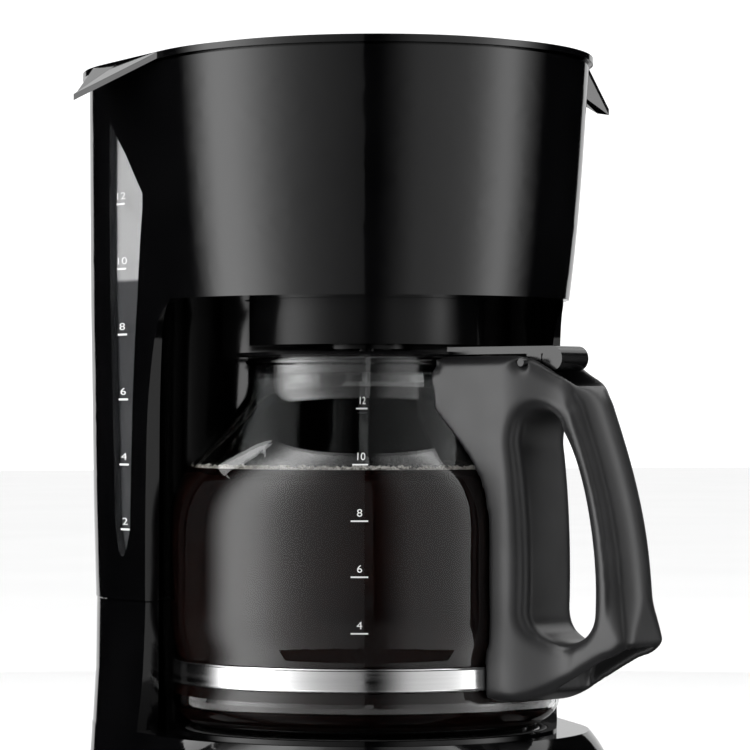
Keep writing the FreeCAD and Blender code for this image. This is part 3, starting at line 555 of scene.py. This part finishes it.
def make_window_scale():
    """Ticks and cup numbers down the water window on the left wall."""
    number_lift = 1.8 * mm
    widening = 2.3
    tree = tree_of("water_window", "main_housing")
    shape = bmesh.new()

    def on_window(across, up, out, level):
        start = Vector((-ray_start, window_mark_y - across, level + up))
        place, _, _, _ = tree.ray_cast(start, Vector((1, 0, 0)))
        return place + Vector((-out - print_depth / 2 - print_gap, 0, 0))

    for cups, level_mm in window_marks.items():
        level = level_mm * mm

        def tick_place(across, up, out):
            return on_window(across, up, out, level)

        def number_place(across, up, out):
            return on_window(across * widening, up + number_lift, out, level)

        add_tick(shape, -3.4 * mm, 3.4 * mm, 0.75 * mm, print_depth, tick_place)
        add_text(shape, str(cups), 3.9 * mm, print_depth, number_place)
    return new_piece("window_scale", shape, "print_white", "housing")


# ---- softened handle ----
handle_turn = math.radians(-59)
handle_out = Vector((math.cos(handle_turn), math.sin(handle_turn), 0))
handle_side = Vector((-handle_out.y, handle_out.x, 0))


def ease(low, high, value):
    """A soft step from 0 at low to 1 at high."""
    share = min(max((value - low) / (high - low), 0.0), 1.0)
    return share * share * (3 - 2 * share)


def handle_place(point):
    """A point as distance out from the carafe's axis, sideways offset, and height, in millimetres."""
    from_axis = point - Vector((axis_x, axis_y, 0))
    return from_axis.dot(handle_out) / mm, from_axis.dot(handle_side) / mm, point.z / mm


def handle_half_width(out):
    """Half the handle's thickness in millimetres: it widens towards the glass."""
    return 13.0 + 5.0 * ease(108, 80, out)


def wall_samples(mesh):
    """Where the handle's upright edges run, found on the flanks by its hollow, each with its rounding."""
    finger_gap = Vector((102.0, 140.0))
    flank_low, flank_high = 10.6, 12.2
    gap_radius = 6.0
    back_radius, palm_extra = 4.5, 8.0
    found = []
    for vertex in mesh.vertices:
        out, side, height = handle_place(vertex.co)
        if not flank_low < abs(side) < flank_high or abs(vertex.normal.dot(handle_side)) > 0.5:
            continue
        facing = Vector((vertex.normal.dot(handle_out), vertex.normal.z))
        if (finger_gap - Vector((out, height))).dot(facing) > 0:
            found.append((Vector((out, height, 0)), facing.normalized(), gap_radius))
        elif facing.x > -0.4:
            palm = ease(104, 114, out) * ease(96, 116, height) * ease(202, 188, height)
            found.append((Vector((out, height, 0)), facing.normalized(), back_radius + palm_extra * palm))
    return found


def round_over(mesh):
    """Turns the handle's square edges into arcs, by drawing each corner of its section onto a circle."""
    samples = wall_samples(mesh)
    near = KDTree(len(samples))
    for i, (place, _, _) in enumerate(samples):
        near.insert(place, i)
    near.balance()
    for vertex in mesh.vertices:
        out, side, height = handle_place(vertex.co)
        spots = near.find_n(Vector((out, height, 0)), 6)
        place, _, depth = spots[0]
        facing = sum((samples[i][1] for _, i, _ in spots), Vector((0, 0))).normalized()
        radius = sum(samples[i][2] for _, i, _ in spots) / len(spots)
        half = handle_half_width(out)
        from_wall = 1 - depth / radius
        from_side = 1 - (half - abs(side)) / radius
        if from_wall <= 0 or from_side <= 0:
            continue
        shrink = max(from_wall, from_side) / math.hypot(from_wall, from_side)
        inward = radius * (1 - from_wall * shrink) - depth
        new_side = half - radius * (1 - from_side * shrink)
        vertex.co -= (handle_out * facing.x + Vector((0, 0, facing.y))) * inward * mm
        vertex.co += handle_side * (math.copysign(new_side, side) - side) * mm


def applied(piece):
    """The piece's mesh with its modifiers worked in."""
    bpy.context.view_layer.update()
    mesh = bpy.data.meshes.new_from_object(piece.evaluated_get(bpy.context.evaluated_depsgraph_get()))
    piece.modifiers.clear()
    return mesh


def add_softening(piece, rounds):
    soften = piece.modifiers.new("soften", "SMOOTH")
    soften.factor = 0.5
    soften.iterations = rounds


def make_soft_handle():
    """The carafe's handle with hand-friendly rounded edges, remeshed from the CAD node's surface."""
    surface = nodes["carafe_handle"].data.copy()
    handle = new_piece("soft_handle", surface, "handle_grey", "carafe")
    remesh = handle.modifiers.new("even_mesh", "REMESH")
    remesh.mode = "VOXEL"
    remesh.voxel_size = 0.9 * mm
    add_softening(handle, 3)
    handle.data = applied(handle)
    round_over(handle.data)
    add_softening(handle, 8)
    handle.data = applied(handle)
    handle.data.materials.clear()
    handle.data.materials.append(finish["handle_grey"])
    smooth_shaded(handle)
    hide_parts("carafe_handle")


make_coffee_body()
make_foam()
make_tank_water()
make_glass_scale()
make_window_scale()
make_soft_handle()


# ---- room, light and camera ----
def make_floor():
    reach = 12.0
    material = new_material("pale_floor", Roughness=0.6)
    vary_colour(material, (0.93, 0.93, 0.93), (0.95, 0.95, 0.95), 3)
    shape = bmesh.new()
    bmesh.ops.create_grid(shape, x_segments=2, y_segments=2, size=reach)
    mesh = bpy.data.meshes.new("floor")
    shape.to_mesh(mesh)
    shape.free()
    mesh.materials.append(material)
    floor = bpy.data.objects.new("floor", mesh)
    bpy.context.scene.collection.objects.link(floor)
    floor.visible_glossy = False


def swell(middle, width, value):
    """A soft hump of height 1."""
    return math.exp(-(((value - middle) / width) ** 2))


def make_softbox(name, first_deg, last_deg, low_deg, high_deg, level):
    """A curved panel of light about the object. Angles start at the camera; level(angle) is its radiance."""
    radius = 1.3
    middle_height = 0.2
    shape = bmesh.new()
    layer = shape.verts.layers.float.new("level")
    columns, rows = 48, 12
    grid = []
    for i in range(columns + 1):
        angle = first_deg + (last_deg - first_deg) * i / columns
        azimuth = camera_azimuth + math.radians(angle)
        line = []
        for j in range(rows + 1):
            tilt = math.radians(low_deg + (high_deg - low_deg) * j / rows)
            flat = radius * math.cos(tilt)
            height = middle_height + radius * math.sin(tilt)
            vertex = shape.verts.new((flat * math.sin(azimuth), axis_y - flat * math.cos(azimuth), height))
            vertex[layer] = level(angle)
            line.append(vertex)
        grid.append(line)
    for first, second in zip(grid, grid[1:]):
        for j in range(rows):
            shape.faces.new((first[j], first[j + 1], second[j + 1], second[j]))
    mesh = bpy.data.meshes.new(name)
    shape.to_mesh(mesh)
    shape.free()
    material = bpy.data.materials.new(name)
    material.use_nodes = True
    tree = material.node_tree
    tree.nodes.clear()
    reading = tree.nodes.new("ShaderNodeAttribute")
    reading.attribute_name = "level"
    glow = tree.nodes.new("ShaderNodeEmission")
    surface = tree.nodes.new("ShaderNodeOutputMaterial")
    tree.links.new(reading.outputs["Fac"], glow.inputs["Strength"])
    tree.links.new(glow.outputs["Emission"], surface.inputs["Surface"])
    mesh.materials.append(material)
    panel = bpy.data.objects.new(name, mesh)
    bpy.context.scene.collection.objects.link(panel)
    panel.visible_camera = False
    panel.visible_shadow = False


def left_level(angle):
    """Brightest well round to the left, with a soft outer edge and a long fall towards the camera."""
    tail = 0.25 + 0.65 * min((-2 - angle) / 60, 1.0)
    return ease(-110, -82, angle) * (tail + 2.9 * swell(-75, 25, angle))


def right_level(angle):
    """Dim near the camera, brightest round to the right, with a soft outer edge."""
    rise = 0.55 + 0.012 * (angle - 20)
    return ease(4, 28, angle) * ease(104, 76, angle) * (rise + 1.7 * swell(74, 13, angle))


def make_light():
    make_softbox("softbox_left", -110, -1, -30, 88, left_level)
    make_softbox("softbox_right", 4, 104, -30, 88, right_level)
    make_softbox("softbox_left_top", -150, -104, 28, 88, lambda angle: 2.6)
    make_softbox("softbox_right_top", 98, 150, 28, 88, lambda angle: 1.6)
    make_softbox("softbox_rear", 152, 208, -20, 60, lambda angle: 0.8)
    world = bpy.data.worlds.new("pale_room")
    world.use_nodes = True
    background = world.node_tree.nodes["Background"]
    background.inputs["Color"].default_value = (1.0, 1.0, 1.0, 1)
    background.inputs["Strength"].default_value = 1.25
    world.cycles_visibility.glossy = False
    bpy.context.scene.world = world
    bpy.context.scene.view_settings.view_transform = "Standard"


def make_camera():
    data = bpy.data.cameras.new("camera")
    data.lens = 185.0
    data.sensor_width = 36.0
    data.shift_x = 0.0117
    data.shift_y = 0.06
    data.clip_end = 100.0
    camera = bpy.data.objects.new("camera", data)
    bpy.context.scene.collection.objects.link(camera)
    side = math.sin(camera_azimuth) * camera_distance
    back = math.cos(camera_azimuth) * camera_distance
    camera.location = (axis_x + side, axis_y - back, camera_height)
    camera.rotation_euler = (math.pi / 2, 0, camera_azimuth)
    bpy.context.scene.camera = camera


make_floor()
make_light()
make_camera()
